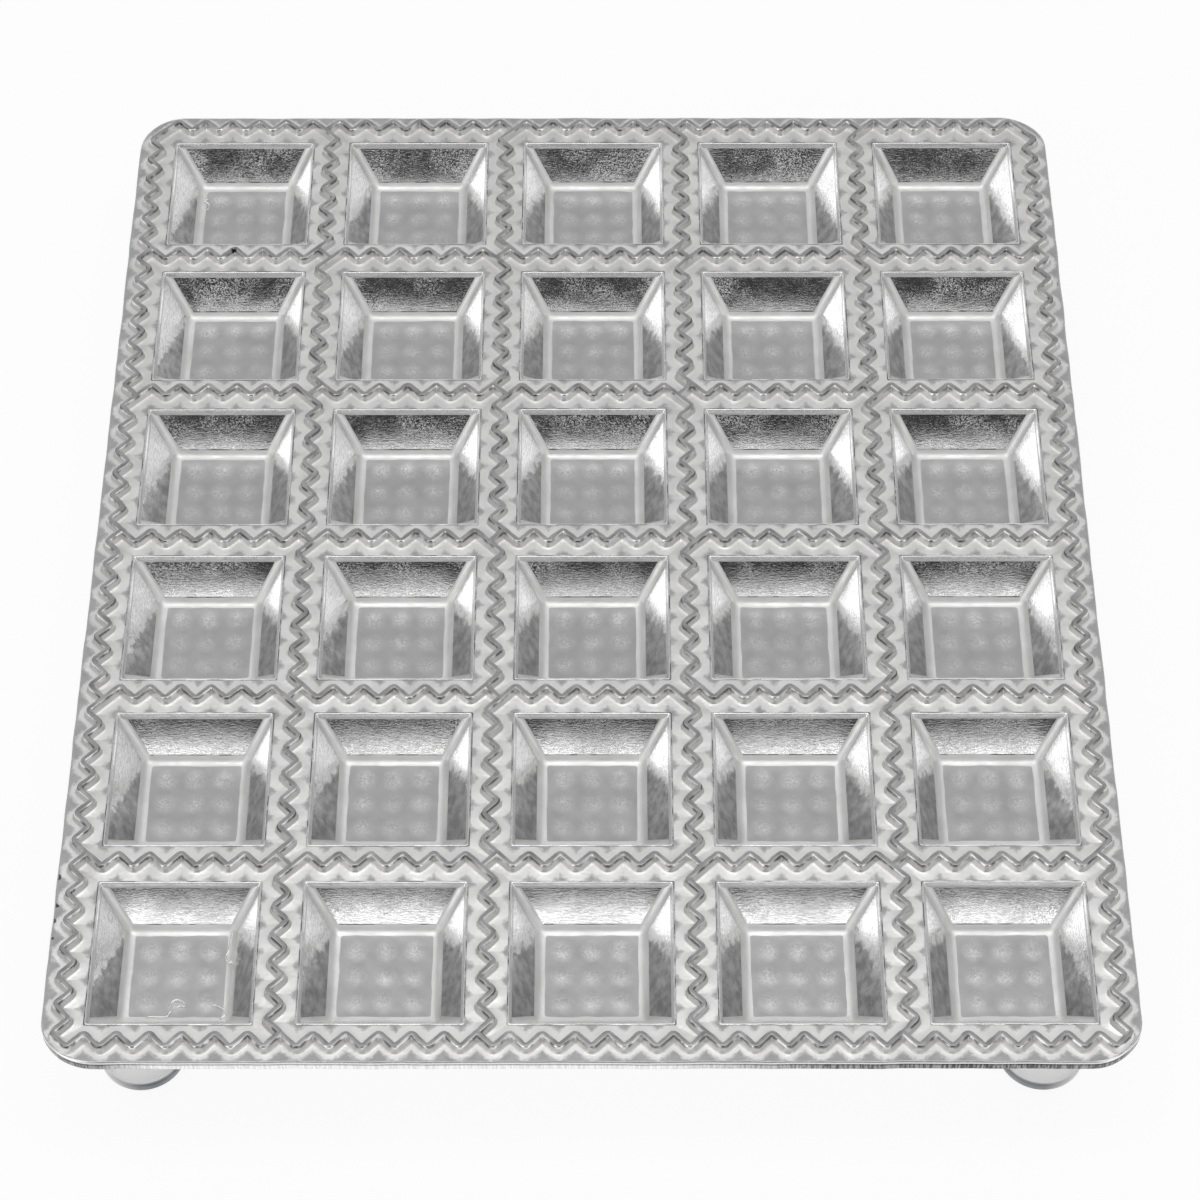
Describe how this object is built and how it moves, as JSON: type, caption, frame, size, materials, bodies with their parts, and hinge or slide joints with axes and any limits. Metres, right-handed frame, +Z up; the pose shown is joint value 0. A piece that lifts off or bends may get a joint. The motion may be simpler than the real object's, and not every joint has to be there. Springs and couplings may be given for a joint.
{
  "type": "ravioli mould",
  "caption": "Cast aluminium ravioli tray: a grid of square sloped pockets parted and edged by zigzag sealing ridges, standing on round plastic feet screwed under its corners",
  "frame": {"origin": "on the table, under the middle of the tray", "axes": "X along a row of five pockets, Y from the front edge to the back, Z up"},
  "size_m": [0.2086, 0.2486, 0.027],
  "materials": {
    "cast_aluminium": "satin die-cast land and floors, glossy mottled pocket walls",
    "white_plastic": "moulded, slight sheen",
    "zinc_plated_steel": "bright zinc plate"
  },
  "bodies": {
    "root": {"mould_plate": "cast_aluminium", "foot_front_left": "white_plastic", "foot_front_right": "white_plastic", "foot_rear_left": "white_plastic", "foot_rear_right": "white_plastic", "foot_screw_front_left": "zinc_plated_steel", "foot_screw_front_right": "zinc_plated_steel", "foot_screw_rear_left": "zinc_plated_steel", "foot_screw_rear_right": "zinc_plated_steel"}
  },
  "joints": []
}
